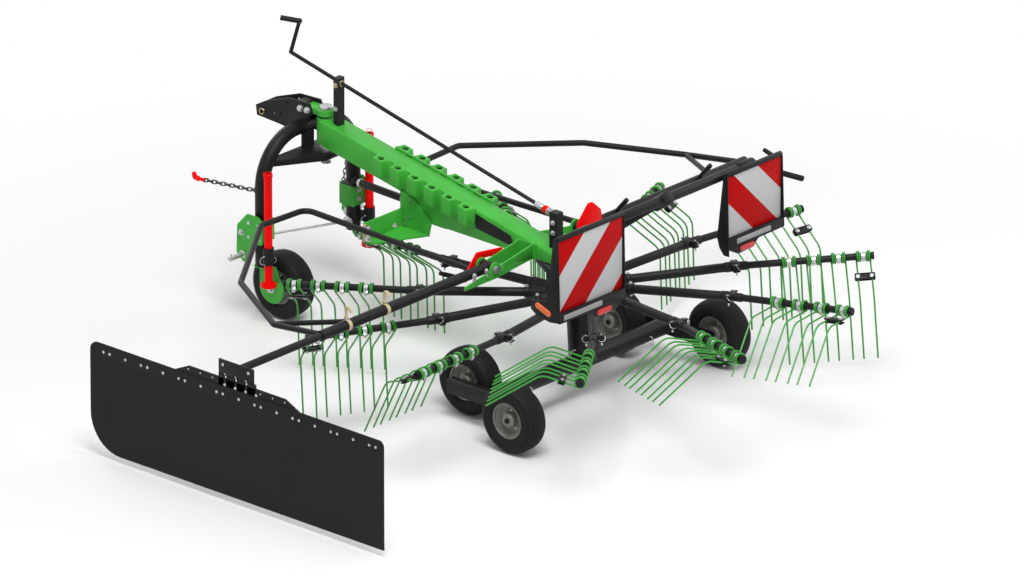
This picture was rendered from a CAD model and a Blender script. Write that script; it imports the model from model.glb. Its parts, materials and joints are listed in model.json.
"""Single-rotor hay rake: the detailed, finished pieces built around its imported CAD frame.

Lengths are in metres. +Y is the way it is towed, +X its right side, +Z up. Shapes are worked out
about CENTRE, the ground under the rotor's hub, and moved to the frame when a piece is finished.
"""

import json
import math

import bmesh
import bpy
from mathutils import Matrix, Vector


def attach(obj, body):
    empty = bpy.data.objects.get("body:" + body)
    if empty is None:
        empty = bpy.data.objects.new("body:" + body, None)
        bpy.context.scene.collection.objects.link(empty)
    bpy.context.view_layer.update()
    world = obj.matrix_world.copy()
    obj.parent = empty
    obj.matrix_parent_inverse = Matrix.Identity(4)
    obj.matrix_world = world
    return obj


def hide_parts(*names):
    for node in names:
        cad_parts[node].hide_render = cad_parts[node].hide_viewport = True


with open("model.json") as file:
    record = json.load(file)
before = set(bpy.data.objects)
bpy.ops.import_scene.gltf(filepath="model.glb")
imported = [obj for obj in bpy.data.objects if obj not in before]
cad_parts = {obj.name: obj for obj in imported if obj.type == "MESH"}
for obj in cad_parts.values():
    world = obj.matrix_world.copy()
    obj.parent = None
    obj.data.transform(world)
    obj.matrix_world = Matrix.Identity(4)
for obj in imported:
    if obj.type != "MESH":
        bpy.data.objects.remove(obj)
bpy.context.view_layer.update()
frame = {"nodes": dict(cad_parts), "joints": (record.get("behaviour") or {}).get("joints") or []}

ROTOR = next(j for j in frame["joints"] if j["name"] == "rotor_spin")["pos_m"]
CENTRE = Vector((ROTOR[0], ROTOR[1], 0.0))
HUB_Z = ROTOR[2]
X, Y, Z = Vector((1, 0, 0)), Vector((0, 1, 0)), Vector((0, 0, 1))
SIDES = (-1, 1)


# ---------- camera, light and floor ----------

VIEW_AHEAD = Vector((0.6866, 0.6226, -0.3754)).normalized()
VIEW_LEFT, VIEW_UP = 0.373, 0.589
VIEW_FAR = 100.0
LENS_PER_METRE = 6.327
WHITE = (1, 1, 1, 1)
SURROUNDINGS = 0.40
LAMP_SIZE = 5.0
LAMP_AIM = Vector((0, 0, 0.6))
LAMPS = {
    "key": ((-3.0, -3.4, 10.0), 860),
    "side": ((7.0, -3.0, 5.0), 130),
    "back": ((2.0, 8.0, 6.0), 130),
}
FLOOR_RADIUS = 60
FLOOR_GREY = (0.93, 0.93, 0.93, 1)
FLOOR_FADE = (2.2, 5.0)


def put_in_scene(name, data):
    """An object with its data, in the scene."""
    obj = bpy.data.objects.new(name, data)
    bpy.context.scene.collection.objects.link(obj)
    return obj


def new_material(name):
    """A material, its node tree and its one shader."""
    material = bpy.data.materials.new(name)
    material.use_nodes = True
    return material, material.node_tree, material.node_tree.nodes["Principled BSDF"]


def feed(tree, node, sockets):
    """Give each of a node's sockets its number, or the socket that feeds it."""
    for name, value in sockets.items():
        if isinstance(value, bpy.types.NodeSocket):
            tree.links.new(value, node.inputs[name])
        else:
            node.inputs[name].default_value = value


def add_node(tree, kind, sockets, **settings):
    """A shader node with its settings made and its sockets fed."""
    node = tree.nodes.new("ShaderNode" + kind)
    for setting, value in settings.items():
        setattr(node, setting, value)
    feed(tree, node, sockets)
    return node


def maths(tree, operation, first, second):
    """What a Math node makes of two numbers or sockets."""
    return add_node(tree, "Math", {0: first, 1: second}, operation=operation).outputs[0]


def on_the_piece(tree):
    """Coordinates that stay on the piece."""
    return add_node(tree, "TexCoord", {}).outputs["Object"]


def place_camera():
    """A long lens, front left of the machine and a little above it."""
    right = VIEW_AHEAD.cross(Z).normalized()
    up = right.cross(VIEW_AHEAD)
    aim = CENTRE - right * VIEW_LEFT + up * VIEW_UP
    data = bpy.data.cameras.new("camera")
    data.lens = LENS_PER_METRE * VIEW_FAR
    data.sensor_width = 36
    data.clip_end = 4 * VIEW_FAR
    camera = put_in_scene("camera", data)
    turn = Matrix((right, up, -VIEW_AHEAD)).transposed().to_4x4()
    camera.matrix_world = Matrix.Translation(aim - VIEW_AHEAD * VIEW_FAR) @ turn
    bpy.context.scene.camera = camera


def area_light(name, place, watts):
    """A square soft light that faces the middle of the machine."""
    data = bpy.data.lights.new(name, "AREA")
    data.shape = "SQUARE"
    data.size = LAMP_SIZE
    data.energy = watts
    light = put_in_scene(name, data)
    light.location = place
    light.rotation_euler = (LAMP_AIM - light.location).to_track_quat("-Z", "Y").to_euler()


def white_seen(tree, lit):
    """White to the camera and to mirrors; the shader given to everything else."""
    rays = add_node(tree, "LightPath", {}).outputs
    either = maths(tree, "MAXIMUM", rays["Is Camera Ray"], rays["Is Glossy Ray"])
    seen = maths(tree, "MAXIMUM", either, rays["Is Transmission Ray"])
    white = add_node(tree, "Background", {"Color": WHITE, "Strength": 1.0}).outputs[0]
    return add_node(tree, "MixShader", {"Fac": seen, 1: lit, 2: white}).outputs[0]


def light_the_studio():
    """Even white surroundings, a large key from above and two weaker lamps round the back."""
    world = bpy.data.worlds.new("studio")
    bpy.context.scene.world = world
    world.use_nodes = True
    tree = world.node_tree
    soft = tree.nodes["Background"]
    feed(tree, soft, {"Color": WHITE, "Strength": SURROUNDINGS})
    feed(tree, tree.nodes["World Output"], {"Surface": white_seen(tree, soft.outputs[0])})
    for name, (place, watts) in LAMPS.items():
        area_light(name, place, watts)


def white_far_off(tree, near):
    """The floor's shader near the machine, which turns to plain white further out."""
    reach = add_node(tree, "VectorMath", {0: on_the_piece(tree)}, operation="LENGTH")
    share = add_node(tree, "MapRange", {
        "Value": reach.outputs["Value"], "From Min": FLOOR_FADE[0], "From Max": FLOOR_FADE[1],
    }, interpolation_type="SMOOTHSTEP")
    white = add_node(tree, "Emission", {"Strength": 1.0}).outputs[0]
    return add_node(tree, "MixShader", {"Fac": share.outputs["Result"], 1: near, 2: white}).outputs[0]


def lay_floor():
    """A wide pale disc under the machine, its colour fading outwards to white."""
    bm = bmesh.new()
    bmesh.ops.create_circle(bm, cap_ends=True, radius=FLOOR_RADIUS, segments=64)
    mesh = bpy.data.meshes.new("floor")
    bm.to_mesh(mesh)
    bm.free()
    floor = put_in_scene("floor", mesh)
    floor.location.z = -0.001
    material, tree, shader = new_material("studio_floor")
    feed(tree, shader, {"Base Color": FLOOR_GREY, "Roughness": 0.9, "Specular IOR Level": 0.1})
    feed(tree, tree.nodes["Material Output"], {"Surface": white_far_off(tree, shader.outputs[0])})
    mesh.materials.append(material)


place_camera()
light_the_studio()
lay_floor()


# ---------- finishes ----------

def linear(red, green, blue):
    """A screen colour, 0 to 255, as the linear colour that shaders take."""
    def step(value):
        value /= 255
        return value / 12.92 if value <= 0.04045 else ((value + 0.055) / 1.055) ** 2.4
    return (step(red), step(green), step(blue), 1.0)


def tinted(colour, factor):
    """The colour made lighter or darker."""
    return tuple(min(1.0, c * factor) for c in colour[:3]) + (1.0,)


def noise_on(tree, scale, detail):
    """Noise that stays on the piece."""
    sockets = {"Vector": on_the_piece(tree), "Scale": scale, "Detail": detail}
    return add_node(tree, "TexNoise", sockets).outputs["Fac"]


def between(tree, factor, low, high):
    """A colour that runs from low to high as factor does."""
    ramp = add_node(tree, "ValToRGB", {"Fac": factor})
    for element, position, colour in zip(ramp.color_ramp.elements, (0.35, 0.65), (low, high)):
        element.position = position
        element.color = colour
    return ramp.outputs["Color"]


def ranged(tree, factor, low, high):
    """A number that runs from low to high as factor does."""
    return add_node(tree, "MapRange", {
        "Value": factor, "From Min": 0.3, "From Max": 0.7, "To Min": low, "To Max": high,
    }).outputs["Result"]


def add_bump(tree, height, shader, strength, depth):
    """Raise the surface by height."""
    bump = add_node(tree, "Bump", {"Height": height, "Strength": strength, "Distance": depth})
    feed(tree, shader, {"Normal": bump.outputs["Normal"]})


def finish_of(name, colour, rough, drift, grain, depth=0.00025, metal=0.0, patch=7.0, coat=0.0,
              specular=0.18):
    """A painted, plated or moulded finish: colour and gloss drift in patches, with a fine grain."""
    material, tree, shader = new_material(name)
    patches = noise_on(tree, patch, 4.0)
    colour = linear(*colour)
    feed(tree, shader, {
        "Base Color": between(tree, patches, tinted(colour, 1 - drift), tinted(colour, 1 + drift)),
        "Roughness": ranged(tree, patches, rough - 0.08, rough + 0.08),
        "Metallic": metal, "Specular IOR Level": specular, "Coat Weight": coat, "Coat Roughness": 0.15,
    })
    add_bump(tree, noise_on(tree, grain, 2.0), shader, 0.35, depth)
    return material


FINISH = {name: finish_of(name, **looks) for name, looks in {
    "green_paint": dict(colour=(68, 174, 62), rough=0.40, drift=0.07, grain=500, specular=0.22),
    "green_spring": dict(colour=(48, 146, 46), rough=0.34, drift=0.10, grain=700, specular=0.4),
    "edge_green": dict(colour=(20, 46, 22), rough=0.6, drift=0.10, grain=300),
    "black_paint": dict(colour=(25, 25, 26), rough=0.42, drift=0.18, grain=600),
    "black_casting": dict(colour=(28, 28, 29), rough=0.55, drift=0.22, grain=260, depth=0.0006),
    "red_paint": dict(colour=(246, 3, 7), rough=0.36, drift=0.06, grain=600, specular=0.1),
    "zinc_steel": dict(colour=(188, 190, 190), rough=0.34, drift=0.12, grain=420, metal=0.85, patch=30),
    "brass_zinc": dict(colour=(178, 166, 126), rough=0.34, drift=0.10, grain=420, metal=0.9, patch=30),
    "chain_steel": dict(colour=(84, 80, 76), rough=0.40, drift=0.20, grain=380, metal=0.8, patch=40),
    "curtain_rubber": dict(colour=(29, 29, 30), rough=0.66, drift=0.10, grain=160, depth=0.0007, patch=3),
    "tyre": dict(colour=(25, 25, 26), rough=0.62, drift=0.15, grain=240, depth=0.0006, patch=12),
    "rim_paint": dict(colour=(132, 131, 126), rough=0.42, drift=0.12, grain=500, metal=0.3, patch=14),
    "cream_plastic": dict(colour=(205, 190, 152), rough=0.5, drift=0.08, grain=300),
    "teal_plastic": dict(colour=(20, 140, 150), rough=0.45, drift=0.08, grain=300),
}.items()}


# ---------- shaping helpers ----------

def edges_of(geometry):
    """The edges in an operator's result."""
    return [g for g in geometry if isinstance(g, bmesh.types.BMEdge)]


def verts_of(geometry):
    """The vertices in an operator's result."""
    return [g for g in geometry if isinstance(g, bmesh.types.BMVert)]


def edges_at(verts):
    """Every edge that ends at one of the vertices."""
    return list({edge for vert in verts for edge in vert.link_edges})


def facing(place, direction):
    """The matrix that stands z at a place along a direction."""
    return Matrix.Translation(place) @ direction.to_track_quat("Z", "Y").to_matrix().to_4x4()


def turned(degrees, axis):
    """A rotation as a 4 by 4 matrix."""
    return Matrix.Rotation(math.radians(degrees), 4, axis)


def ring(bm, place, direction, radius, sides):
    """An open circle of edges."""
    made = bmesh.ops.create_circle(bm, radius=radius, segments=sides, matrix=facing(place, direction))
    return edges_at(made["verts"])


def grow(bm, edges, move):
    """Extrude a ring straight on."""
    grown = bmesh.ops.extrude_edge_only(bm, edges=edges)["geom"]
    bmesh.ops.translate(bm, verts=verts_of(grown), vec=move)
    return edges_of(grown)


def turn(bm, edges, centre, axis, angle, steps, rise):
    """Sweep a ring round an axis, and along it by rise in all."""
    verts = {vert for edge in edges for vert in edge.verts}
    swept = bmesh.ops.spin(
        bm, geom=list(verts) + edges, cent=centre, axis=axis, dvec=rise / steps, angle=angle, steps=steps
    )
    return edges_of(swept["geom_last"])


def sweep(bm, place, direction, radius, moves, sides=10):
    """A round bar that starts at a place and makes each move in turn.

    A move is a length to run straight, or (angle, bend radius, axis, steps, rise) to turn.
    """
    tip, heading = Vector(place), Vector(direction).normalized()
    edges = ring(bm, tip, heading, radius, sides)
    bmesh.ops.edgeloop_fill(bm, edges=edges)
    for move in moves:
        if isinstance(move, (int, float)):
            edges = grow(bm, edges, heading * move)
            tip = tip + heading * move
            continue
        angle, bend_radius, axis, steps, rise = move
        side = axis.cross(heading).normalized() * math.copysign(1, angle)
        centre = tip + side * bend_radius
        edges = turn(bm, edges, centre, axis, angle, steps, axis * rise)
        tip = centre + Matrix.Rotation(angle, 3, axis) @ (tip - centre) + axis * rise
        heading = Matrix.Rotation(angle, 3, axis) @ heading
    bmesh.ops.edgeloop_fill(bm, edges=edges)


def tube_through(bm, points, radius, bend_radius, sides):
    """A round tube through a list of points, each corner bent round."""
    moves, back = [], 0.0
    for here, corner, there in zip(points, points[1:], points[2:]):
        before, after = (corner - here).normalized(), (there - corner).normalized()
        angle = before.angle(after)
        ease = bend_radius * math.tan(angle / 2)
        moves.append((corner - here).length - back - ease)
        moves.append((angle, bend_radius, before.cross(after).normalized(), 6, 0.0))
        back = ease
    moves.append((points[-1] - points[-2]).length - back)
    sweep(bm, points[0], points[1] - points[0], radius, moves, sides)


def bevel_edges(bm, edges, width, segments=2):
    """Round some edges."""
    if width > 0:
        bmesh.ops.bevel(bm, geom=edges, offset=width, offset_type="OFFSET", affect="EDGES",
                        segments=segments, profile=0.5, material=-1, clamp_overlap=True)


def rod(bm, start, end, diameter, chamfer=0.0, sides=20):
    """A round bar between two points, its rims rounded by chamfer."""
    start, end = Vector(start), Vector(end)
    made = bmesh.ops.create_cone(
        bm, cap_ends=True, segments=sides, radius1=diameter / 2, radius2=diameter / 2,
        depth=(end - start).length, matrix=facing((start + end) / 2, end - start),
    )
    rims = [e for e in edges_at(made["verts"]) if any(len(f.verts) == sides for f in e.link_faces)]
    bevel_edges(bm, rims, chamfer)


def disc(bm, place, axis, below, above, diameter, chamfer, sides):
    """A round bar about a place, from below it to above it along an axis."""
    rod(bm, place + axis * below, place + axis * above, diameter, chamfer, sides)


def hex_bolt(bm, place, axis, across):
    """A hexagon head with its washer, standing on a face."""
    place = Vector(place)
    disc(bm, place, axis, 0, across * 0.16, across * 1.75, across * 0.04, 18)
    disc(bm, place, axis, 0, across * 0.72, across * 1.15, across * 0.06, 6)


def bolts_both_sides(bm, rows):
    """Hexagon heads on both sides of the machine, from rows of a right-hand place, axis and width."""
    for side in SIDES:
        mirror = Matrix.Diagonal((side, 1, 1))
        for place, axis, across in rows:
            hex_bolt(bm, mirror @ Vector(place), mirror @ axis, across)


def slab(bm, outline, normal, thickness, chamfer=0.002):
    """A plate: an outline of points in a plane, thickened both ways along its normal."""
    normal = Vector(normal).normalized()
    verts = [bm.verts.new(Vector(p) - normal * thickness / 2) for p in outline]
    edges = [bm.edges.new(pair) for pair in zip(verts, verts[1:] + verts[:1])]
    face = bmesh.ops.edgeloop_fill(bm, edges=edges)["faces"][0]
    moved = verts_of(bmesh.ops.extrude_face_region(bm, geom=[face])["geom"])
    bmesh.ops.translate(bm, verts=moved, vec=normal * thickness)
    bevel_edges(bm, edges_at(verts + moved), chamfer)


def brick(bm, low, high, chamfer=0.002):
    """A block between two corners, its edges rounded."""
    low, high = Vector(low), Vector(high)
    made = bmesh.ops.create_cube(bm, size=1.0)["verts"]
    bmesh.ops.scale(bm, verts=made, vec=high - low)
    bmesh.ops.translate(bm, verts=made, vec=(low + high) / 2)
    bevel_edges(bm, edges_at(made), chamfer)


def wire_ring(bm, centre, axis, radius, wire, steps=24, sides=8):
    """A closed ring of round wire."""
    centre, axis = Vector(centre), Vector(axis).normalized()
    arm = axis.orthogonal().normalized() * radius
    edges = ring(bm, centre + arm, axis.cross(arm), wire / 2, sides)
    verts = {vert for edge in edges for vert in edge.verts}
    bmesh.ops.spin(bm, geom=list(verts) + edges, cent=centre, axis=axis, angle=math.tau,
                   steps=steps, use_merge=True)


def lathe(bm, profile, axis_at, axis, steps):
    """A turned shape: a profile of (distance along the axis, radius), closed or from pole to pole."""
    axis = Vector(axis).normalized()
    out = axis.orthogonal().normalized()
    verts = [bm.verts.new(Vector(axis_at) + axis * along + out * radius) for along, radius in profile]
    edges = [bm.edges.new(pair) for pair in zip(verts, verts[1:])]
    if profile[0][1] > 0 and profile[-1][1] > 0:
        edges.append(bm.edges.new((verts[-1], verts[0])))
    bmesh.ops.spin(bm, geom=verts + edges, cent=axis_at, axis=axis, angle=math.tau, steps=steps,
                   use_merge=True)


def collar(bm, centre, axis, half, inner, outer, steps):
    """A plain ring round a bar, half its width to each side of its centre."""
    lathe(bm, [(-half, inner), (-half, outer), (half, outer), (half, inner)], centre, axis, steps)


def stamp(bm, pattern, matrices):
    """Copies of a small mesh, one at each matrix."""
    for matrix in matrices:
        placed = pattern.copy()
        placed.transform(matrix)
        bm.from_mesh(placed)
        bpy.data.meshes.remove(placed)


def pattern_of(bm):
    """A small mesh to stamp."""
    mesh = bpy.data.meshes.new("pattern")
    bm.to_mesh(mesh)
    bm.free()
    return mesh


def cut_out(bm, cutter):
    """The first shape with the second taken out of it."""
    placed = []
    for shape in (bm, cutter):
        bmesh.ops.recalc_face_normals(shape, faces=shape.faces)
        placed.append(put_in_scene("cut", pattern_of(shape)))
    tool = placed[0].modifiers.new("cut", "BOOLEAN")
    tool.operation = "DIFFERENCE"
    tool.solver = "EXACT"
    tool.object = placed[1]
    left = bmesh.new()
    seen = placed[0].evaluated_get(bpy.context.evaluated_depsgraph_get())
    left.from_mesh(seen.to_mesh())
    for obj in placed:
        mesh = obj.data
        bpy.data.objects.remove(obj)
        bpy.data.meshes.remove(mesh)
    return left


# ---------- finished pieces ----------


def piece(name, bm, body, finish, nodes=(), crease=35, centred=True):
    """The finished piece: normals outwards, in its place, on its body."""
    bmesh.ops.remove_doubles(bm, verts=bm.verts, dist=1e-6)
    bmesh.ops.recalc_face_normals(bm, faces=bm.faces)
    if centred:
        bmesh.ops.translate(bm, verts=bm.verts, vec=CENTRE)
    mesh = bpy.data.meshes.new(name)
    bm.to_mesh(mesh)
    bm.free()
    mesh.shade_smooth()
    mesh.set_sharp_from_angle(angle=math.radians(crease))
    obj = put_in_scene(name, mesh)
    mesh.materials.append(FINISH[finish])
    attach(obj, body)
    if nodes:
        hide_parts(*nodes)
    return obj


def merged_copy(node):
    """A CAD node's mesh as a bmesh, its loose triangles joined."""
    bm = bmesh.new()
    bm.from_mesh(frame["nodes"][node].data)
    bmesh.ops.remove_doubles(bm, verts=bm.verts, dist=1e-5)
    return bm


def round_off(obj, width, segments=2):
    """Round a piece's sharp edges."""
    bevel = obj.modifiers.new("rounded", "BEVEL")
    bevel.limit_method = "ANGLE"
    bevel.angle_limit = math.radians(32)
    bevel.width = width
    bevel.segments = segments
    bevel.harden_normals = True


def soften(node, body, finish, width, segments=2):
    """A CAD node with its sharp edges rounded, shown in place of it."""
    shape = piece(node + "_shape", merged_copy(node), body, finish, [node], centred=False)
    round_off(shape, width, segments)


for softened in (
    ("rotor_hub", "rotor", "black_casting", 0.003),
    ("stay_brackets", "chassis", "green_paint", 0.0022),
    ("guard_brackets", "chassis", "green_paint", 0.0015),
    ("pivot_pins", "chassis", "zinc_steel", 0.0015),
    ("swivel_pin", "chassis", "zinc_steel", 0.002),
    ("crank", "chassis", "black_paint", 0.0022),
    ("gearbox", "chassis", "black_casting", 0.004, 3),
    ("undercarriage", "chassis", "black_paint", 0.003),
    ("lower_hitch", "headstock", "green_paint", 0.003),
    ("hitch_pins", "headstock", "zinc_steel", 0.002),
    ("gauge_bracket", "headstock", "green_paint", 0.003),
    ("hitch_ear", "headstock", "green_paint", 0.003),
    ("stand_left", "parking_stand_left", "red_paint", 0.0035, 3),
    ("stand_right", "parking_stand_right", "red_paint", 0.0035, 3),
    ("damper_cylinder", "damper_barrel", "black_paint", 0.002),
    ("damper_rod", "damper_piston", "zinc_steel", 0.002),
):
    soften(*softened)


# ---------- rotor: hub, arms and tines ----------

ROTOR_LEAN = -4
FIRST_ARM = 125.2
ARM_OFFSET = 0.060
ARM_RISE = -1
ARM_CRANK = -7
ARM_JOINT = 0.890
OUTER_LEN = 0.765
PAIR_AT = [OUTER_LEN - 0.052 - i * 0.138 for i in range(4)]
CAM_TURN = [0, 0, 30, 63, 59, 46, 0, 0, 0, 0, 0]
ARMS = len(CAM_TURN)
TINE_SLOPE = 43.5
TINE_BEND = 48
BEND_RADIUS = 0.080
UPPER, LOWER = 0.230, 0.362
COIL = 0.028
COIL_RUN = 0.0215
WIRE = 0.010
LEG_X = 0.039
FLANGE_PIN = 0.043
HUB_BOLTS = 22
ARM_STEPS = ((0.268, 0.889, 0.052, 0.002), (0.272, 0.300, 0.066, 0.003), (0.830, 0.872, 0.058, 0.003))
OUTER_STEPS = ((0, OUTER_LEN, 0.040, 0), (0, 0.070, 0.050, 0.003),
               (OUTER_LEN - 0.001, OUTER_LEN + 0.009, 0.045, 0.003))
FLANGE_END = [(0.027, 0.026), (0.022, 0.034), (0.026, 0.046), (0.018, 0.058)]
KEEPER_END = [(0.058, 0.014), (0.052, 0.020)]


def rotor_frame():
    """The rotor's own frame, its shaft along z."""
    return Matrix.Translation((0, 0, HUB_Z)) @ turned(ROTOR_LEAN, "X")


def arm_frame(k):
    """The frame of arm k, x outwards along its inner tube."""
    around = turned(FIRST_ARM + k * 360 / ARMS, "Z")
    return rotor_frame() @ around @ Matrix.Translation((0, ARM_OFFSET, 0)) @ turned(ARM_RISE, "Y")


def outer_frame(k):
    """The frame of arm k's outer tube, its start at the pinned joint."""
    return arm_frame(k) @ Matrix.Translation((ARM_JOINT, 0, 0)) @ turned(ARM_CRANK, "Z")


def tine_line(cam):
    """Where a tine leaves its coil, its two directions and its upper length, in the pair's frame."""
    slope = math.radians(cam - TINE_SLOPE)
    root = Vector((0, math.sin(slope), -math.cos(slope))) * COIL
    corner = root + Vector((0, -math.cos(slope), math.sin(slope))) * UPPER
    low = slope - math.radians(TINE_BEND)
    lower = Vector((0, -math.cos(low), math.sin(low)))
    lead = math.atan2(corner.z, corner.y) - math.asin(COIL / corner.length)
    heading = Vector((0, math.cos(lead), math.sin(lead)))
    leaves = Vector((0, -math.sin(lead), math.cos(lead))) * COIL
    return leaves, heading, lower, math.sqrt(corner.length_squared - COIL ** 2)


def tine(bm, side, cam):
    """One tine of round wire: two turns of coil, the upper leg, the bend and the lower leg."""
    leaves, heading, lower, upper = tine_line(cam)
    bend = heading.angle(lower)
    ease = BEND_RADIUS * math.tan(bend / 2)
    start = leaves + X * side * (LEG_X - COIL_RUN)
    sweep(bm, start, heading, WIRE / 2, [
        (-2 * math.tau, COIL, X, 28, side * COIL_RUN),
        upper - ease,
        (bend, BEND_RADIUS, X, 7, 0.0),
        LOWER - ease,
    ], 8)


def tine_pair_pattern(cam):
    """Both tines of a pair and the wire that joins their coils."""
    bm = bmesh.new()
    leaves = tine_line(cam)[0]
    for side in SIDES:
        tine(bm, side, cam)
    rod(bm, leaves - X * 0.019, leaves + X * 0.019, WIRE, sides=8)
    return pattern_of(bm)


def tine_clamp_pattern(cam):
    """The strap round the arm that holds a pair of tines, with its saddle and bolt."""
    bm = bmesh.new()
    out = tine_line(cam)[0].normalized()
    across = X.cross(out)
    collar(bm, (0, 0, 0), X, 0.012, 0.0202, 0.0245, 24)

    def plate(middle, wide, half, normal, thickness):
        corners = ((-0.011, -half), (0.011, -half), (0.011, half), (-0.011, half))
        slab(bm, [middle + X * x + wide * y for x, y in corners], normal, thickness, 0.001)

    plate(out * 0.021, across, 0.013, out, 0.006)
    plate(out * 0.035, across, 0.012, out, 0.004)
    for side in SIDES:
        plate(out * 0.029 + across * side * 0.0105, out, 0.008, across, 0.004)
    hex_bolt(bm, out * 0.036, out, 0.013)
    return pattern_of(bm)


def four_ways(corner):
    """An outline that is the same at its four corners, from the points of one."""
    half = corner + [(-x, y) for x, y in reversed(corner)]
    return half + [(-x, -y) for x, y in half]


def tine_keeper(bm, plates, cam):
    """The plates across an arm's last pair that keep a broken tine, with their bolts."""
    leaves, heading, _, upper = tine_line(cam)
    out = X.cross(heading)
    middle = leaves + heading * upper * 0.46 + out * 0.009
    outline = [middle + X * x + heading * y for x, y in four_ways(KEEPER_END)]
    slab(plates, outline, out, 0.006, 0.001)
    slab(plates, [p - out * 0.018 for p in outline], out, 0.006, 0.001)
    for side in SIDES:
        at = middle + X * side * LEG_X
        for back, way in ((0.003, 1), (-0.021, -1)):
            disc(bm, at + out * back, out * way, 0, 0.003, 0.024, 0.0006, 18)
            disc(bm, at + out * back, out * way, 0.003, 0.009, 0.013, 0.001, 6)


def joint_flange(bm, x):
    """The bow-tie clamp at an arm's pinned joint: two waisted plates and the eyes at their ends."""
    for z in (-0.0165, 0.0165):
        slab(bm, [(x + a * 0.84, b, z) for a, b in four_ways(FLANGE_END)], Z, 0.007, 0.002)
    for side in SIDES:
        disc(bm, Vector((x, side * FLANGE_PIN, 0)), Z, -0.013, 0.013, 0.028, 0.002, 16)
    brick(bm, (x - 0.020, -0.040, -0.014), (x + 0.020, 0.040, 0.014), 0.004)


def ring_pins(bm, x):
    """The pins through a joint flange, each with its spring ring."""
    for side in SIDES:
        at = Vector((x, side * FLANGE_PIN, 0))
        disc(bm, at, Z, -0.040, 0.024, 0.011, 0.002, 14)
        wire_ring(bm, at + Vector((0.010, 0, 0.004)), (0.75, 0, 0.66), 0.021, 0.0038, 20, 6)


def arm_tubes(k):
    """Arm k: its inner tube with a collar, the joint flange and the cranked outer tube."""
    bm = bmesh.new()
    for start, end, diameter, chamfer in ARM_STEPS:
        rod(bm, (start, 0, 0), (end, 0, 0), diameter, chamfer, 24)
    joint_flange(bm, ARM_JOINT)
    bmesh.ops.transform(bm, matrix=arm_frame(k), verts=bm.verts)
    outer = bmesh.new()
    for start, end, diameter, chamfer in OUTER_STEPS:
        rod(outer, (start, 0, 0), (end, 0, 0), diameter, chamfer)
    stamp(bm, pattern_of(outer), [outer_frame(k)])
    name = f"arm_{k + 1:02d}"
    piece(name + "_tubes", bm, "rotor", "black_paint", [name])
    pins = bmesh.new()
    ring_pins(pins, ARM_JOINT)
    for z in SIDES:
        hex_bolt(pins, (0.286, 0, z * 0.032), Z * z, 0.014)
    bmesh.ops.transform(pins, matrix=arm_frame(k), verts=pins.verts)
    piece(name + "_pins", pins, "rotor", "zinc_steel")


def arm_tines(k, springs, clamps):
    """The four tine pairs of arm k, their clamps, and the keeper on the last pair."""
    places = [outer_frame(k) @ Matrix.Translation((x, 0, 0)) for x in PAIR_AT]
    cam = CAM_TURN[k]
    wires, steel, plates = bmesh.new(), bmesh.new(), bmesh.new()
    stamp(wires, springs[cam], places)
    stamp(steel, clamps[cam], places)
    bolts = bmesh.new()
    tine_keeper(bolts, plates, cam)
    bmesh.ops.transform(plates, matrix=places[0], verts=plates.verts)
    stamp(steel, pattern_of(bolts), places[:1])
    name = f"tines_{k + 1:02d}"
    piece(name + "_springs", wires, "rotor", "green_spring", [name])
    piece(name + "_clamps", steel, "rotor", "zinc_steel")
    piece(name + "_keeper", plates, "rotor", "black_paint")


def hub_bolts():
    """Bolts round the top of the hub's drum."""
    bm = bmesh.new()
    for i in range(HUB_BOLTS):
        hex_bolt(bm, turned(i * 360 / HUB_BOLTS, "Z") @ Vector((0.155, 0, 0.045)), Z, 0.016)
    bmesh.ops.transform(bm, matrix=rotor_frame(), verts=bm.verts)
    piece("hub_bolts", bm, "rotor", "zinc_steel")


def build_rotor():
    """Everything that turns with the hub."""
    hub_bolts()
    springs = {cam: tine_pair_pattern(cam) for cam in set(CAM_TURN)}
    clamps = {cam: tine_clamp_pattern(cam) for cam in set(CAM_TURN)}
    for k in range(ARMS):
        arm_tubes(k)
        arm_tines(k, springs, clamps)


build_rotor()


# ---------- wheels ----------

WHEELS = {
    "rear_left": (-0.853, -0.284),
    "front_left": (-0.598, 0.270),
    "front_right": (0.598, 0.270),
    "rear_right": (0.853, -0.284),
    "gauge": (-0.255, 2.000),
}
AXLE_Z = 0.1945
WHEEL_BOLTS = 5
GROOVES = (-0.045, -0.027, -0.009, 0.009, 0.027, 0.045)


SHOULDER = 0.054


def mirrored(profile):
    """The other half of a profile, from the middle outwards."""
    return [(-along, radius) for along, radius in reversed(profile)]


def tread_radius(along):
    """The tyre's crown: lower towards its shoulders."""
    return 0.1943 - 0.010 * (abs(along) / 0.058) ** 2.4


def tyre_profile():
    """Bead, sidewall with two raised lines, shoulder, and a tread with six grooves; one half mirrored."""
    wall = [(-0.0525, 0.1052), (-0.0600, 0.1075), (-0.0665, 0.1150), (-0.0700, 0.1230), (-0.0712, 0.1240),
            (-0.0718, 0.1262), (-0.0712, 0.1275), (-0.0722, 0.1400), (-0.0722, 0.1530), (-0.0730, 0.1540),
            (-0.0728, 0.1565), (-0.0712, 0.1580), (-0.0690, 0.1680), (-0.0650, 0.1765), (-0.0590, 0.1825)]
    tread = [(-SHOULDER, tread_radius(SHOULDER))]
    for at in GROOVES:
        for step, drop in ((-0.0017, 0.0), (-0.0012, 0.0042), (0.0012, 0.0042), (0.0017, 0.0)):
            tread.append((at + step, tread_radius(at) - drop))
    tread.append((SHOULDER, tread_radius(SHOULDER)))
    return wall + tread + mirrored(wall)


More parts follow.
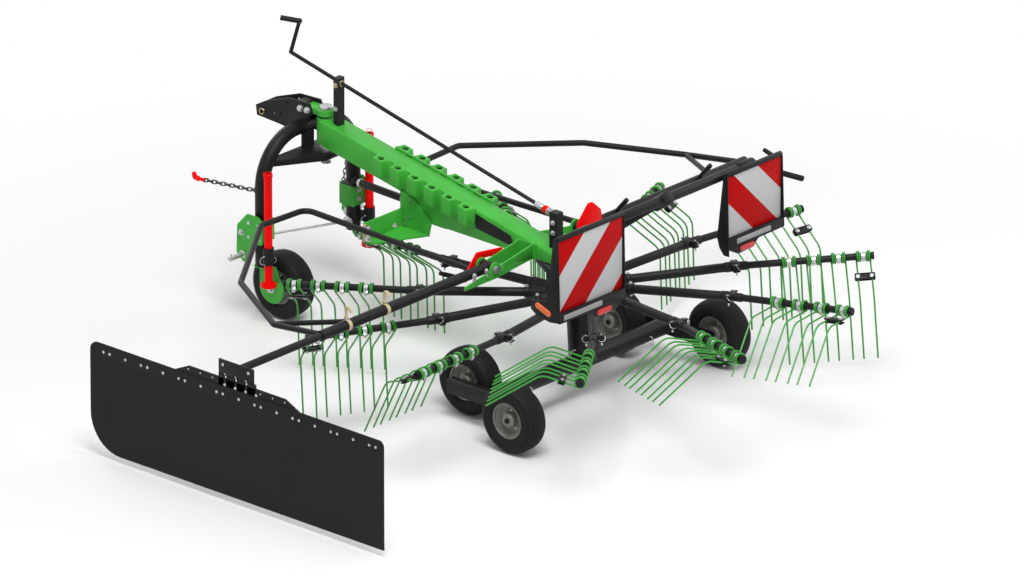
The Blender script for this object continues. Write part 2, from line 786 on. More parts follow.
RIM_HALF = [(0.0565, 0.1046), (0.0590, 0.1040), (0.0590, 0.0985), (0.0550, 0.0965), (0.0480, 0.0955),
            (0.0400, 0.0945), (0.0375, 0.0900), (0.0300, 0.0885), (0.0275, 0.0835), (0.0190, 0.0815),
            (0.0165, 0.0760), (0.0120, 0.0730), (0.0105, 0.0620), (0.0150, 0.0560), (0.0150, 0.0480),
            (0.0200, 0.0440), (0.0480, 0.0415), (0.0545, 0.0360), (0.0545, 0.0240), (0.0548, 0.0156)]


def build_wheel(name, x, y):
    """A turned tyre on a stepped steel rim with its wheel bolts."""
    at = Vector((x, y, AXLE_Z))
    body = "wheel_" + name
    tyre = bmesh.new()
    lathe(tyre, tyre_profile(), at, X, 72)
    piece(f"tyre_{name}_tread", tyre, body, "tyre", ["tyre_" + name], crease=50)
    rim = bmesh.new()
    lathe(rim, RIM_HALF + mirrored(RIM_HALF), at, X, 72)
    piece(f"rim_{name}_dish", rim, body, "rim_paint", ["rim_" + name], crease=28)
    bolts = bmesh.new()
    for i in range(WHEEL_BOLTS):
        around = turned(i * 360 / WHEEL_BOLTS + 18, "X") @ Vector((0, 0.052, 0))
        for side in SIDES:
            hex_bolt(bolts, at + around + X * side * 0.0145, X * side, 0.011)
    piece(f"rim_{name}_bolts", bolts, body, "zinc_steel")


for wheel, (wheel_x, wheel_y) in WHEELS.items():
    build_wheel(wheel, wheel_x, wheel_y)


# ---------- warning boards and their light bar ----------

BOARD_X = 0.678
BOARD_Z = 1.161
BAR_AT = (-0.625, 1.330)
BOARDS = {
    "left": {"side": -1, "x": -BOARD_X, "wide": 0.519, "tall": 0.423, "period": 0.430, "phase": 0.2645,
             "strip": (-0.238, 0.074)},
    "right": {"side": 1, "x": BOARD_X, "wide": 0.438, "tall": 0.366, "period": 0.400, "phase": 0.3900,
              "strip": (-0.115, 0.164)},
}


def striped_sheet(name, board):
    """Reflective sheeting: red and white stripes at 45 degrees, with a fine cell pattern."""
    material = finish_of(name, (191, 192, 194), 0.42, 0.03, 900, 0.0001, specular=0.08)
    tree = material.node_tree
    place = on_the_piece(tree)
    split = add_node(tree, "SeparateXYZ", {0: place}).outputs
    across = maths(tree, "ADD", split["X"], maths(tree, "MULTIPLY", split["Z"], board["side"]))
    start = CENTRE.x + board["x"] + board["side"] * BOARD_Z - board["phase"]
    turns = maths(tree, "DIVIDE", maths(tree, "SUBTRACT", across, start), board["period"])
    part = maths(tree, "FRACT", maths(tree, "ADD", turns, 8.0), 0.0)
    cells = add_node(tree, "TexVoronoi", {"Vector": place, "Scale": 320}).outputs["Distance"]
    mix = add_node(tree, "Mix", {
        "Factor": maths(tree, "GREATER_THAN", part, 0.5),
        "A": between(tree, cells, linear(186, 187, 189), linear(197, 198, 200)),
        "B": between(tree, cells, linear(172, 0, 1), linear(188, 1, 3)),
    }, data_type="RGBA")
    feed(tree, tree.nodes["Principled BSDF"], {"Base Color": mix.outputs["Result"]})
    return material


def ribbed_lens(name, colour, rough):
    """Moulded lens plastic with fine upright ribs."""
    material = finish_of(name, colour, rough, 0.06, 700, 0.0001, coat=0.6)
    tree = material.node_tree
    ribs = add_node(tree, "TexWave", {"Vector": on_the_piece(tree), "Scale": 34}, bands_direction="X")
    add_bump(tree, ribs.outputs["Fac"], tree.nodes["Principled BSDF"], 0.5, 0.002)
    return material


def oval(bm, place, long, normal, length, height, thickness, chamfer=0.003):
    """A button with round ends, standing on a face."""
    place, long, normal = Vector(place), Vector(long).normalized(), Vector(normal).normalized()
    basis = Matrix((long, normal.cross(long), normal)).transposed().to_4x4()
    made = bmesh.ops.create_circle(bm, cap_ends=True, radius=height / 2, segments=24,
                                   matrix=Matrix.Translation(place) @ basis)["verts"]
    for way in SIDES:
        end = [v for v in made if (v.co - place).dot(long) * way > 1e-5]
        bmesh.ops.translate(bm, verts=end, vec=long * way * (length - height) / 2)
    face = next(f for f in made[0].link_faces)
    grown = bmesh.ops.extrude_face_region(bm, geom=[face])["geom"]
    moved = verts_of(grown)
    bmesh.ops.translate(bm, verts=moved, vec=normal * thickness)
    top = [e for e in edges_of(grown) if all(v in moved for v in e.verts)]
    bevel_edges(bm, top, chamfer)


def board_frame(bm, board):
    """The black surround: rims, top roll, tapered side plates and the lamp carrier below."""
    side, middle = board["side"], board["x"]
    wide, tall = board["wide"] / 2 + 0.010, board["tall"] / 2
    low, high = BOARD_Z - tall, BOARD_Z + tall

    def at(inwards, y, z):
        return (middle - side * inwards, y, z)

    rod(bm, at(-wide, -0.684, high + 0.012), at(wide, -0.684, high + 0.012), 0.030, 0.004, 20)
    brick(bm, (middle - wide, -0.694, low - 0.004), (middle + wide, -0.676, low + 0.004), 0.002)
    brick(bm, (middle - wide + 0.008, -0.6883, low + 0.002),
          (middle + wide - 0.008, -0.6680, high - 0.002), 0.002)
    for edge in SIDES:
        brick(bm, (middle + edge * (wide - 0.004) - 0.004, -0.695, low - 0.03),
              (middle + edge * (wide - 0.004) + 0.004, -0.662, high + 0.014), 0.002)
    outer = [(-0.697, high + 0.010), (-0.662, high + 0.010), (-0.614, low + 0.060), (-0.502, low + 0.040),
             (-0.498, low - 0.015), (-0.540, low - 0.045), (-0.640, low - 0.060), (-0.712, low - 0.050)]
    inner = [(-0.697, high + 0.010), (-0.668, high + 0.010), (-0.622, low - 0.005), (-0.640, low - 0.062),
             (-0.672, low - 0.100), (-0.710, low - 0.100)]
    slab(bm, [at(-wide, y, z) for y, z in outer], X, 0.006, 0.001)
    slab(bm, [at(wide, y, z) for y, z in inner], X, 0.006, 0.001)
    carrier = [(-wide, 0.004), (-wide, -0.055), (-0.02, -0.058), (0.03, -0.100), (0.66 * wide, -0.104),
               (wide, -0.060), (wide, 0.004)]
    slab(bm, [at(u, -0.688, low + z) for u, z in carrier], Y, 0.044, 0.004)
    brick(bm, (middle - wide + 0.01, -0.662, BOARD_Z - 0.03), (middle + wide - 0.01, -0.640, BOARD_Z + 0.03))


def build_board(name, board):
    """One warning board: its frame, striped face, light strip and lenses."""
    side, middle = board["side"], board["x"]
    low = BOARD_Z - board["tall"] / 2
    wide = board["wide"] / 2
    bm = bmesh.new()
    board_frame(bm, board)
    piece(f"board_{name}_frame", bm, "chassis", "black_paint", ["board_" + name])
    face = bmesh.new()
    brick(face, (middle - wide, -0.6925, low + 0.002),
          (middle + wide, -0.6885, low + board["tall"] - 0.002), 0.001)
    FINISH["striped_" + name] = striped_sheet("striped_" + name, board)
    piece(f"board_{name}_face", face, "chassis", "striped_" + name)
    strip = bmesh.new()
    start, end = board["strip"]
    ends = sorted((middle - side * start, middle - side * end))
    brick(strip, (ends[0], -0.716, low - 0.040), (ends[1], -0.706, low - 0.010), 0.004)
    piece(f"board_{name}_strip", strip, "chassis", "clear_lens")
    lens = bmesh.new()
    oval(lens, (middle - side * 0.36 * wide, -0.709, low - 0.078), X, -Y, 0.118, 0.034, 0.008)
    piece(f"board_{name}_rear_lens", lens, "chassis", "red_lens")
    lamp = bmesh.new()
    oval(lamp, (middle + side * (wide + 0.012), -0.590, low + 0.004), (0, -0.94, -0.34), X * side,
         0.118, 0.036, 0.008)
    piece(f"board_{name}_side_lens", lamp, "chassis", "amber_lens")


LENSES = {
    "clear_lens": ((150, 150, 152), 0.25),
    "red_lens": ((205, 52, 58), 0.22),
    "amber_lens": ((226, 112, 62), 0.22),
}
FINISH.update({name: ribbed_lens(name, *looks) for name, looks in LENSES.items()})


def build_light_bar():
    """The bar that carries the boards, its stem, foot plate and the red marker plate."""
    bm = bmesh.new()
    rod(bm, (-0.708, *BAR_AT), (0.708, *BAR_AT), 0.056, 0.004, 28)
    rod(bm, (0, 0.086, 0.804), (0, -0.612, 1.322), 0.056, 0.003, 28)
    brick(bm, (-0.065, 0.0845, 0.757), (0.065, 0.0990, 0.845), 0.003)
    rod(bm, (0, -0.560, 1.280), (0, -0.660, 1.356), 0.078, 0.006, 24)
    for s in SIDES:
        brick(bm, (s * BOARD_X - 0.045, -0.657, 1.101), (s * BOARD_X + 0.045, -0.645, 1.321), 0.003)
        rod(bm, (s * BOARD_X - 0.06, *BAR_AT), (s * BOARD_X + 0.06, *BAR_AT), 0.070, 0.004, 24)
    rod(bm, (0.86, -0.66, 1.352), (0.86, -0.60, 1.368), 0.026, 0.004, 16)
    piece("light_bar_tube", bm, "chassis", "black_paint", ["light_bar"])
    bolts = bmesh.new()
    bolts_both_sides(bolts, [((BOARD_X, -0.645, z), Y, 0.016) for z in (1.135, 1.205, 1.275)])
    bolts_both_sides(bolts, [((0.045, 0.0845, 0.80), -Y, 0.016)])
    piece("light_bar_bolts", bolts, "chassis", "zinc_steel")
    flap = bmesh.new()
    outline = ((-0.050, 0.915), (0.050, 0.915), (0.112, 1.050), (0.098, 1.100), (0.032, 1.158),
               (-0.004, 1.160), (-0.092, 1.065), (-0.095, 1.040))
    slab(flap, [(x, -0.067, z) for x, z in outline], Y, 0.010, 0.003)
    piece("marker_plate", flap, "chassis", "red_paint")


for board_name, board_sizes in BOARDS.items():
    build_board(board_name, board_sizes)
build_light_bar()


# ---------- curtain ----------

SHEET_X = -2.440
SHEET_MID, SHEET_HALF = 0.325, 1.095
SHEET_REAR, SHEET_FRONT = SHEET_MID - SHEET_HALF, SHEET_MID + SHEET_HALF
SHEET_LOW, SHEET_TOP = 0.036, 0.676
RIVET_STEP = 0.2835
GUARD_Y, GUARD_Z = 0.330, 0.788


def sheet_outline():
    """The curtain's edge: a large lower front corner and two small upper ones."""
    bm = bmesh.new()
    made = bmesh.ops.create_grid(bm, x_segments=1, y_segments=1, size=0.5)["verts"]
    bmesh.ops.rotate(bm, verts=made, matrix=Matrix.Rotation(math.pi / 2, 3, "Y"))
    bmesh.ops.scale(bm, verts=made, vec=(1, SHEET_FRONT - SHEET_REAR, SHEET_TOP - SHEET_LOW))
    bmesh.ops.translate(bm, verts=made, vec=(SHEET_X, SHEET_MID, (SHEET_TOP + SHEET_LOW) / 2))
    corners = ((True, False, 0.220, 14), (True, True, 0.055, 6), (False, True, 0.035, 6))
    for front, top, reach, steps in corners:
        corner = [v for v in bm.verts if (v.co.y > SHEET_MID + 1.05) == front and (v.co.z > 0.6) == top
                  and abs(v.co.y - SHEET_MID) > 1.05]
        corner = [v for v in corner if min(abs(v.co.z - SHEET_TOP), abs(v.co.z - SHEET_LOW)) < 1e-4]
        bmesh.ops.bevel(bm, geom=corner, offset=reach, offset_type="OFFSET", affect="VERTICES",
                        segments=steps, profile=0.5, material=-1)
    return bm


def build_curtain_sheet():
    """A flat rubber sheet with a moulded top strip, a dark green trim below and its rivets."""
    bm = sheet_outline()
    grown = bmesh.ops.extrude_face_region(bm, geom=list(bm.faces))["geom"]
    bmesh.ops.translate(bm, verts=verts_of(grown), vec=(0.007, 0, 0))
    bmesh.ops.translate(bm, verts=bm.verts, vec=(-0.0035, 0, 0))
    brick(bm, (-2.4455, SHEET_REAR + 0.06, SHEET_TOP - 0.075),
          (-2.4390, SHEET_FRONT - 0.06, SHEET_TOP - 0.002), 0.002)
    sheet = piece("curtain_rubber_sheet", bm, "curtain", "curtain_rubber", ["curtain_sheet"])
    edge = bmesh.new()
    rod(edge, (SHEET_X, SHEET_REAR + 0.002, SHEET_LOW + 0.0045),
        (SHEET_X, SHEET_FRONT - 0.22, SHEET_LOW + 0.0045), 0.0085, 0, 8)
    trim = piece("curtain_edge_trim", edge, "curtain", "edge_green")
    dots = bmesh.new()
    for i in range(8):
        pair = [-0.0235, 0.0235]
        between_pairs = [-RIVET_STEP / 2] if i < 7 else []
        for y in pair + between_pairs:
            at = Vector((-2.4455, SHEET_FRONT - 0.128 - i * RIVET_STEP + y, SHEET_TOP - 0.045))
            rod(dots, at + X * 0.012, at - X * 0.003, 0.017, 0.001, 16)
    rivets = piece("curtain_rivets", dots, "curtain", "zinc_steel")


def bracket_slots(bm):
    """The mounting plate, cut from strips so that its four slots are open."""
    x0, x1 = -2.4358, -2.4258
    low, high = GUARD_Z - 0.250, GUARD_Z + 0.040
    rear, front = GUARD_Y - 0.130, GUARD_Y + 0.130
    slots = [GUARD_Y + 0.081 - i * 0.078 for i in range(4)]
    brick(bm, (x0, rear, high - 0.090), (x1, front, high), 0.002)
    brick(bm, (x0, rear, low), (x1, front, high - 0.160), 0.002)
    edges = [front] + [y + way for y in slots for way in (0.008, -0.008)] + [rear]
    for left, right in zip(edges[::2], edges[1::2]):
        if left - right > 0.002:
            brick(bm, (x0, right, high - 0.165), (x1, left, high - 0.085), 0.0)


def build_curtain_tube():
    """The sliding tube, its mounting plate, the stiffener and their bolts."""
    bm = bmesh.new()
    rod(bm, (-1.400, GUARD_Y, GUARD_Z), (-2.428, GUARD_Y, GUARD_Z), 0.045, 0.002, 28)
    bracket_slots(bm)
    middle, top = SHEET_MID, SHEET_TOP
    slab(bm, [(-2.4308, y, z) for y, z in (
        (middle - 0.470, top - 0.070), (middle + 0.470, top - 0.070), (middle + 0.470, top - 0.006),
        (middle + 0.360, top + 0.045), (middle - 0.360, top + 0.045), (middle - 0.470, top - 0.006))],
        X, 0.010, 0.0015)
    brick(bm, (-2.428, GUARD_Y - 0.060, GUARD_Z - 0.030), (-2.414, GUARD_Y + 0.060, GUARD_Z + 0.030), 0.003)
    piece("curtain_tube_plates", bm, "curtain", "black_paint", ["curtain_tube"])
    bolts = bmesh.new()
    for i in range(4):
        y = GUARD_Y + 0.081 - i * 0.078
        rod(bolts, (-2.4358, y, SHEET_TOP + 0.008), (-2.4405, y, SHEET_TOP + 0.008), 0.019, 0.001, 16)
        rod(bolts, (-2.4358, y, SHEET_TOP + 0.072), (-2.4380, y, SHEET_TOP + 0.072), 0.010, 0.001, 12)
    for y in (-0.095, 0.095):
        rod(bolts, (-2.4358, GUARD_Y + y, GUARD_Z + 0.012), (-2.4400, GUARD_Y + y, GUARD_Z + 0.012),
            0.019, 0.001, 16)
    for y in (-0.36, -0.27, -0.18, 0.18, 0.27, 0.36):
        rod(bolts, (-2.4358, middle + y, top + 0.026), (-2.4385, middle + y, top + 0.026), 0.010, 0.001, 12)
    piece("curtain_bolts", bolts, "curtain", "zinc_steel")


build_curtain_tube()
build_curtain_sheet()


# ---------- boom, brackets and gearbox ----------

BOOM_HALF = 0.070
SOCKETS = [1.400 - 0.128 * i for i in range(6)]
SLOPE = 0.335 / 1.80


def boom_top(y):
    """The height of the boom's top face."""
    return 0.815 + (y - 0.10) * SLOPE


def build_boom():
    """The boom, folded from plate, with the upright barrel that it swivels on."""
    bm = bmesh.new()
    side = [(0.10, 0.755), (1.03, 0.755), (1.24, 0.88), (1.866, 0.996), (1.90, 1.008), (1.90, 1.150),
            (0.10, 0.815)]
    slab(bm, [(0, y, z) for y, z in side], X, 2 * BOOM_HALF, 0.009)
    lathe(bm, [(0, 0.026), (0, 0.049), (0.003, 0.052), (0.151, 0.052), (0.154, 0.049), (0.154, 0.026)],
          Vector((0, 1.91, 0.996)), Z, 36)
    piece("boom_shell", bm, "chassis", "green_paint", ["boom"])
    panel = [(0.715, 0.909), (0.452, 0.848), (0.415, 0.784), (0.715, 0.822)]
    for side in SIDES:
        bm = bmesh.new()
        slab(bm, [(side * (BOOM_HALF + 0.0004), y, z) for y, z in panel], X, 0.0008, 0)
        piece(f"side_panel_{'left' if side < 0 else 'right'}", bm, "chassis", "black_paint")


def socket_wave(side):
    """One side's strip in plan: a bulge round each socket and a valley between two."""
    points = [(0.066, SOCKETS[-1] - 0.046)]
    for y in reversed(SOCKETS):
        points += [(0.084, y - 0.044), (0.096, y - 0.038), (0.132, y - 0.034), (0.132, y + 0.034),
                   (0.096, y + 0.038), (0.084, y + 0.044)]
        if y != SOCKETS[0]:
            points.append((0.079, y + 0.064))
    points.append((0.066, SOCKETS[0] + 0.046))
    return [(side * x, y, 0) for x, y in points]


def build_sockets():
    """A scalloped strip on each side of the boom, bored from above for the stored arms."""
    slant = Matrix.Identity(4)
    slant[2][1] = SLOPE
    slant[2][3] = boom_top(0) + 0.010 - 0.050
    bm = bmesh.new()
    for side in SIDES:
        slab(bm, socket_wave(side), Z, 0.100, 0.003)
    bmesh.ops.transform(bm, verts=bm.verts, matrix=slant)
    bores = bmesh.new()
    for side in SIDES:
        for y in SOCKETS:
            spot = Vector((side * 0.101, y, boom_top(y)))
            rod(bores, spot - Z * 0.2, spot + Z * 0.2, 0.040)
    piece("socket_strips", cut_out(bm, bores), "chassis", "green_paint", ["arm_sockets"])
    bm = bmesh.new()
    for side in SIDES:
        for y in SOCKETS:
            top = boom_top(y)
            lathe(bm, [(-0.074, 0.0), (-0.074, 0.0197), (0, 0.0197), (0, 0.0180), (-0.070, 0.0180),
                       (-0.070, 0.0)], Vector((side * 0.101, y, top)), Z, 24)
    for y in SOCKETS[1:]:
        at = Vector((0.064, y + 0.064, boom_top(y + 0.064)))
        tilt = Matrix.Translation(at) @ Matrix.Rotation(math.atan(SLOPE), 4, "X")
        made = bmesh.ops.create_cube(bm, size=1.0, matrix=tilt @ Matrix.Diagonal((0.007, 0.048, 0.002, 1)))
        bevel_edges(bm, edges_at(made["verts"]), 0.0004, 1)
    piece("strip_slots", bm, "chassis", "black_paint")


def build_bracket_bolts():
    """Bolts on the stay brackets' cheeks and ends, and on the guard brackets."""
    bm = bmesh.new()
    cheeks = [((0.0702, y, z), X, 0.020) for y, z in ((1.238, 0.742), (1.196, 0.760), (1.238, 0.706))]
    ends = [((0.385, 1.235, z), X, 0.024) for z in (0.770, 0.712)] + [((0.300, 1.110, 0.795), Z, 0.019)]
    large = [((x, 0.278, z), -Y, 0.018) for x in (0.46, 0.56) for z in (0.800, 0.770)]
    small = [((x, 0.278, z), -Y, 0.012) for x, z in ((0.331, 0.788), (0.322, 0.762), (0.221, 0.776))]
    bolts_both_sides(bm, cheeks + ends + large + small)
    piece("bracket_bolts", bm, "chassis", "zinc_steel")


def build_crank():
    """The crank's fittings: red knob, zinc sleeve and spring at its foot, clamps on the front post."""
    foot = Vector((0, 0.173, 1.020))
    along = (Vector((0, 2.176, 1.470)) - foot).normalized()
    bm = bmesh.new()
    lathe(bm, [(0.100, 0.0112), (0.100, 0.0155), (0.104, 0.0175), (0.150, 0.0175), (0.154, 0.0155),
               (0.154, 0.0112)], foot, along, 28)
    for i in range(4):
        wire_ring(bm, foot + along * (0.033 + 0.009 * i), along, 0.0195, 0.0065, 24)
    hex_bolt(bm, (-0.0262, 0.173, 0.985), -X, 0.018)
    hex_bolt(bm, (-0.0262, 0.173, 0.925), -X, 0.018)
    hex_bolt(bm, (-0.0262, 1.810, 1.230), -X, 0.016)
    piece("crank_sleeve", bm, "chassis", "zinc_steel")
    bm = bmesh.new()
    lathe(bm, [(0.064, 0.0112), (0.064, 0.018), (0.070, 0.022), (0.088, 0.022), (0.094, 0.018),
               (0.094, 0.0112)], foot, along, 28)
    piece("crank_knob", bm, "chassis", "red_paint")
    bm = bmesh.new()
    at = Vector((0, 1.810, 1.388))
    for step in (-0.022, 0.022):
        collar(bm, at + along * step, along, 0.006, 0.0112, 0.018, 24)
    hex_bolt(bm, (-0.0262, 1.810, 1.372), -X, 0.018)
    piece("crank_clamps", bm, "chassis", "brass_zinc")


def build_lid_bolts():
    """The bolts round the gearbox's lid."""
    bm = bmesh.new()
    bolts_both_sides(bm, [((0.112, y, 0.755), Z, 0.014) for y in (-0.105, -0.035, 0.035, 0.105)])
    for y in (-0.112, 0.112):
        hex_bolt(bm, (0, y, 0.755), Z, 0.014)
    piece("lid_bolts", bm, "chassis", "zinc_steel")


def build_stay_strap():
    """A beige strap round the left stay bracket's end."""
    bm = bmesh.new()
    brick(bm, (-0.3885, 1.262, 0.684), (-0.372, 1.274, 0.789), 0.001)
    piece("stay_strap", bm, "chassis", "cream_plastic")


build_boom()
build_sockets()
build_stay_strap()
build_bracket_bolts()
build_crank()
build_lid_bolts()


# ---------- undercarriage and latch ----------

def ring_pin(bm, place, axis, length, hang=0.022):
    """A locking pin with a sprung ring through its head."""
    place, axis = Vector(place), Vector(axis).normalized()
    rod(bm, place - axis * length, place + axis * 0.012, 0.010, 0.002, 12)
    wire_ring(bm, place + axis * 0.008 - Z * hang, Vector((-axis.y, axis.x, 0)) + axis * 0.3, hang, 0.004, 22)


def build_beam_bolts():
    """The bolts and ring pins of the tandem beams, and the scale strip on the column."""
    bm = bmesh.new()
    bolts_both_sides(bm, [((0.7268, y, AXLE_Z), X, 0.030) for y in (-0.294, 0.280)])
    bolts_both_sides(bm, [((0.730, -0.030, 0.215), X, 0.036)])
    ring_pin(bm, (-0.082, -0.04, 0.30), -X, 0.03)
    ring_pin(bm, (-0.50, -0.082, 0.215), -Y, 0.03)
    ring_pin(bm, (0.50, -0.082, 0.215), -Y, 0.03)
    piece("beam_bolts", bm, "chassis", "zinc_steel")
    bm = bmesh.new()
    slab(bm, [(-0.066, -0.052, 0.33), (-0.052, -0.066, 0.33), (-0.052, -0.060, 0.50), (-0.066, -0.046, 0.50)],
         Vector((-1, -1, 0)), 0.006, 0.001)
    piece("scale_strip", bm, "chassis", "teal_plastic")


def build_latch():
    """The red latch lever, bent from flat bar, with a black grip on its end."""
    y = GUARD_Y + 0.0622
    upper = [(-0.205, 0.836), (-0.416, 0.866), (-0.516, 0.760), (-0.598, 0.787)]
    lower = [(-0.598, 0.748), (-0.504, 0.712), (-0.394, 0.822), (-0.205, 0.796)]
    bm = bmesh.new()
    slab(bm, [(x, y, z) for x, z in upper + lower], Y, 0.010, 0.003)
    piece("latch_bar", bm, "chassis", "red_paint", ["latch_lever"])
    bm = bmesh.new()
    grip = ((-0.590, 0.787), (-0.712, 0.843), (-0.722, 0.822), (-0.598, 0.757))
    slab(bm, [(x, y, z) for x, z in grip], Y, 0.020, 0.006)
    piece("latch_grip", bm, "chassis", "curtain_rubber")


build_beam_bolts()
build_latch()


# ---------- headstock, hitch, stands and damper ----------

LEG_AT = 0.376
HOOK = ((2.534, 0.706), (2.578, 0.712), (2.586, 0.748), (2.566, 0.756), (2.556, 0.736), (2.532, 0.734))
STAND_X, STAND_Y = 0.418, 1.966
TOP_BORES = ((2.157, 1.182, 0.016), (2.251, 1.131, 0.014), (2.262, 1.090, 0.014), (2.208, 1.106, 0.014))


def build_arch():
    """The bent arch with its gusset and top plates, the plates holed through."""
    bm = merged_copy("headstock_frame")
    holes = bmesh.new()
    for y, z, bore in TOP_BORES:
        spot = CENTRE + Vector((0, y, z))
        rod(holes, spot - X * 0.1, spot + X * 0.1, bore, 0, 16)
    obj = piece("arch_shape", cut_out(bm, holes), "headstock", "black_paint", ["headstock_frame"],
                centred=False)
    round_off(obj, 0.0015)


def build_top_fittings():
    """The sleeve for the top link, and the heads of the bolts through the top plates."""
    bm = bmesh.new()
    bore = Vector((0, 2.350, 1.084))
    lathe(bm, [(-0.058, 0.0135), (-0.060, 0.0175), (-0.057, 0.0195), (0.057, 0.0195), (0.060, 0.0175),
               (0.058, 0.0135)], bore, X, 32)
    piece("top_link_sleeve", bm, "headstock", "brass_zinc")
    bm = bmesh.new()
    for side in SIDES:
        for y in (2.000, 2.052):
            at = Vector((side * 0.052, y, 1.181))
            rod(bm, at - X * side * 0.003, at + X * side * 0.004, 0.040, 0.0015, 28)
            rod(bm, at, at + X * side * 0.020, 0.034, 0.006, 28)
    for at in ((0, 2.05, 1.079), (0, 1.91, 0.880)):
        rod(bm, Vector(at) - Z * 0.004, Vector(at) + Z * 0.002, 0.058, 0.001, 24)
    piece("top_bolts", bm, "headstock", "zinc_steel")


def chain_link(length, width, wire):
    """An oval link that runs along x, flat in the plane of x and y."""
    bm = bmesh.new()
    bend = (width - wire) / 2
    run = length - width
    moves = [run, (math.pi, bend, Z, 8, 0.0), run, (math.pi, bend, Z, 8, 0.0)]
    sweep(bm, (-run / 2, -bend, 0), X, wire / 2, moves, 8)
    return pattern_of(bm)


def hang_chain(bm, start, end, count, length, wire):
    """Links from start to end, each turned a quarter round from the one before."""
    link = chain_link(length, wire * 3.4, wire)
    start, end = Vector(start), Vector(end)
    at = [start.lerp(end, (i + 0.5) / count) for i in range(count)]
    places = []
    for i, spot in enumerate(at):
        along = (at[min(i + 1, count - 1)] - at[max(i - 1, 0)]).to_track_quat("X", "Z").to_matrix().to_4x4()
        places.append(Matrix.Translation(spot) @ along @ turned(45 + i * 90, "X"))
    stamp(bm, link, places)


def build_chains():
    """The check chain with its red hook, and the one kept on the right leg."""
    bm = bmesh.new()
    hang_chain(bm, (-LEG_AT, 2.096, 0.766), (-LEG_AT, 2.500, 0.724), 12, 0.049, 0.0082)
    wire_ring(bm, (-LEG_AT, 2.098, 0.766), X, 0.016, 0.007)
    hang_chain(bm, (LEG_AT, 2.098, 0.730), (LEG_AT, 2.150, 0.500), 8, 0.0405, 0.0066)
    piece("chain_links", bm, "headstock", "chain_steel", ["check_chain"])
    bm = bmesh.new()
    lathe(bm, [(-0.009, 0.010), (-0.009, 0.023), (-0.006, 0.026), (0.006, 0.026), (0.009, 0.023),
               (0.009, 0.010)], Vector((-LEG_AT, 2.518, 0.722)), Vector((0.5, 0, 1)), 28)
    slab(bm, [(-LEG_AT, y, z) for y, z in HOOK], X, 0.016, 0.003)
    piece("chain_hook", bm, "headstock", "red_paint")


def build_hitch_bolts():
    """The bolts, ring pins and washers of the clamps, the hitch plates and the gauge wheel."""
    bm = bmesh.new()
    plates = [((0.4295, y, z), X, 0.020) for z in (0.506, 0.590) for y in (2.020, 2.096)]
    clamps = [((LEG_AT, 2.0065, z), -Y, 0.020) for z in (0.575, 0.520)]
    bolts_both_sides(bm, plates + clamps + [((0.4405, 2.150, 0.520), X, 0.022)])
    for side in SIDES:
        ring_pin(bm, (side * 0.536, 2.140, 0.406), Z, 0.028, 0.020)
    hex_bolt(bm, (-0.3605, 2.000, AXLE_Z), -X, 0.030)
    hex_bolt(bm, (-0.3605, 2.030, 0.400), -X, 0.018)
    rod(bm, (0.318, 2.048, 0.387), (0.336, 2.048, 0.385), 0.062, 0.003, 28)
    rod(bm, (-0.3155, 2.048, 0.498), (-0.300, 2.048, 0.496), 0.030, 0.002, 6)
    piece("hitch_bolts", bm, "headstock", "zinc_steel")


def build_stand_fittings():
    """The parking stands' rims, dark mouths and pins, and the right one's ring."""
    for side, label in ((-1, "left"), (1, "right")):
        bm = bmesh.new()
        at = Vector((side * STAND_X, STAND_Y, 0.880))
        if side > 0:
            wire_ring(bm, at + Z * 0.044, Vector((1, 1, 0)), 0.018, 0.0032, 26)
        rod(bm, at - X * 0.031, at + X * 0.031, 0.010, 0.002, 12)
        lathe(bm, [(0.027, 0.018), (0.029, 0.026), (0.034, 0.027), (0.037, 0.024), (0.037, 0.018)], at, Z, 32)
        piece(f"stand_{label}_ring", bm, f"parking_stand_{label}", "red_paint")
        bm = bmesh.new()
        lathe(bm, [(0.028, 0.0), (0.028, 0.0178), (0.0305, 0.0178), (0.0305, 0.0)], at, Z, 24)
        piece(f"stand_{label}_mouth", bm, f"parking_stand_{label}", "black_paint")
        bm = bmesh.new()
        ring_pin(bm, (side * STAND_X - 0.030, STAND_Y, 0.425), -X, 0.02, 0.024)
        ring_pin(bm, (side * STAND_X + 0.030, STAND_Y, 0.400), X, 0.02, 0.020)
        piece(f"stand_{label}_pin", bm, "headstock", "zinc_steel")


def build_damper_clamps():
    """The clamps at both ends of the damper's barrel."""
    start, end = Vector((0.300, 1.968, 0.660)), Vector((0.270, 1.228, 0.660))
    along = (end - start).normalized()
    bm = bmesh.new()
    for step in (0.046, 0.388):
        collar(bm, start + along * step, along, 0.009, 0.0215, 0.0245, 28)
    piece("damper_clamps", bm, "damper_barrel", "zinc_steel")


build_arch()
build_top_fittings()
build_chains()
build_hitch_bolts()
build_stand_fittings()
build_damper_clamps()


# ---------- guards ----------

HOOP = [(1.732, GUARD_Y, GUARD_Z), (1.710, 0.722, 0.735), (1.418, 1.243, 0.755), (0.815, 1.650, 0.806),
        (0.415, 1.680, 0.776), (0.462, GUARD_Y, 0.776)]
HOOP_RADIUS, HOOP_BEND = 0.017, 0.055
GUARD_END = 1.757 - 0.390


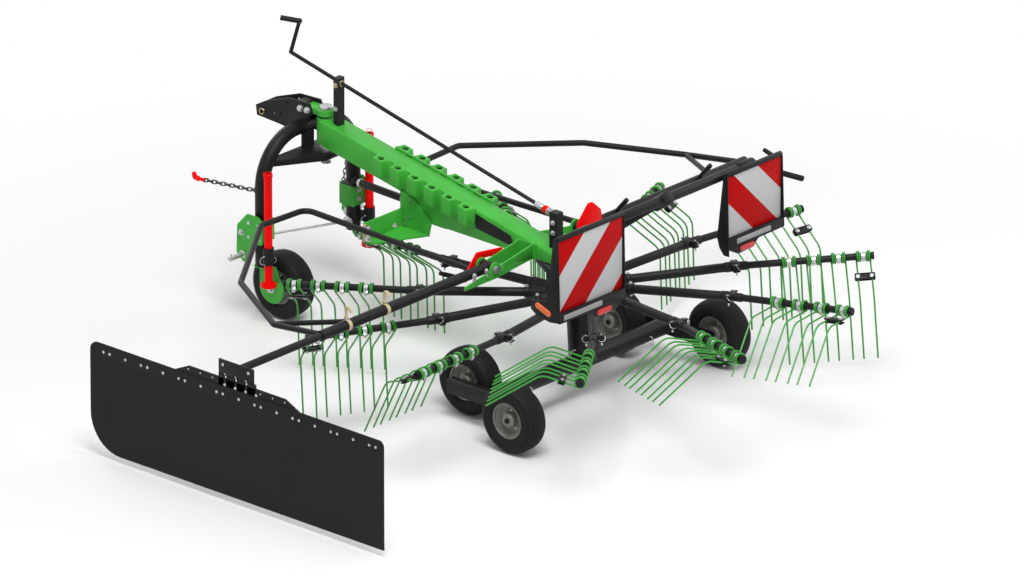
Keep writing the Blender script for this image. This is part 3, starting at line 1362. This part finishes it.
def build_guard_tubes(side, label, bore):
    """One guard: its pivot barrel, arm, strut and bent hoop; bore is the arm's, open outwards."""
    place = Matrix.Diagonal((side, 1, 1)).to_3x3()
    root = Vector((side * 0.390, GUARD_Y, GUARD_Z))
    bm = bmesh.new()
    if bore:
        lathe(bm, [(0.016, 0.0), (0.016, 0.030), (GUARD_END - 0.0015, 0.030), (GUARD_END, 0.0285),
                   (GUARD_END, bore), (0.490, bore), (0.490, 0.0)], root, X * side, 28)
    else:
        rod(bm, root + X * side * 0.016, root + X * side * GUARD_END, 0.060, 0.002, 28)
    lathe(bm, [(-0.0405, 0.0151), (-0.041, 0.031), (-0.039, 0.033), (0.039, 0.033), (0.041, 0.031),
               (0.0405, 0.0151)], root, Y, 36)
    hoop = [place @ Vector(p) for p in HOOP]
    tube_through(bm, hoop, HOOP_RADIUS, HOOP_BEND, 14)
    rod(bm, place @ Vector((1.464, GUARD_Y, GUARD_Z)), hoop[1].lerp(hoop[2], 0.016), 0.030, 0, 16)
    if side > 0:
        rod(bm, hoop[0], (1.752, -0.107, 0.800), 0.034, 0.003, 18)
        for x in (0.66, 1.36):
            rod(bm, (x, 0.326, 0.800), (x, 0.236, 0.905), 0.028, 0.004, 18)
    piece(f"guard_{label}_tubes", bm, f"guard_{label}", "black_paint", [f"{label}_guard"])


def guard_hook(bm, at):
    """A cream plastic hook that clips on the guard's arm."""
    at = Vector(at)
    sweep(bm, at + Vector((0, 0.006, 0.020)), Z, 0.0085,
          [0.040, (math.radians(150), 0.016, X, 8, 0.0), 0.022], 10)
    rod(bm, at + Vector((0, 0.006, 0.002)), at + Vector((0, 0.006, 0.026)), 0.024, 0.004, 14)


def strap(bm, at, axis, inner, width=0.024):
    """A flat strap round a bar."""
    collar(bm, Vector(at), axis, width / 2, inner, inner + 0.003, 32)


def build_guard_hooks():
    """The straps and hooks on the left guard's arm."""
    bm = bmesh.new()
    for x in (-1.54, -1.23):
        strap(bm, (x, GUARD_Y, GUARD_Z), X, 0.0303)
        guard_hook(bm, (x, GUARD_Y, 0.818))
    piece("guard_hooks", bm, "guard_left", "cream_plastic")


build_guard_tubes(-1, "left", 0.0228)
build_guard_tubes(1, "right", 0)
build_guard_hooks()


# ---------- sizes and finish ----------


bpy.context.scene.view_settings.view_transform = "Standard"
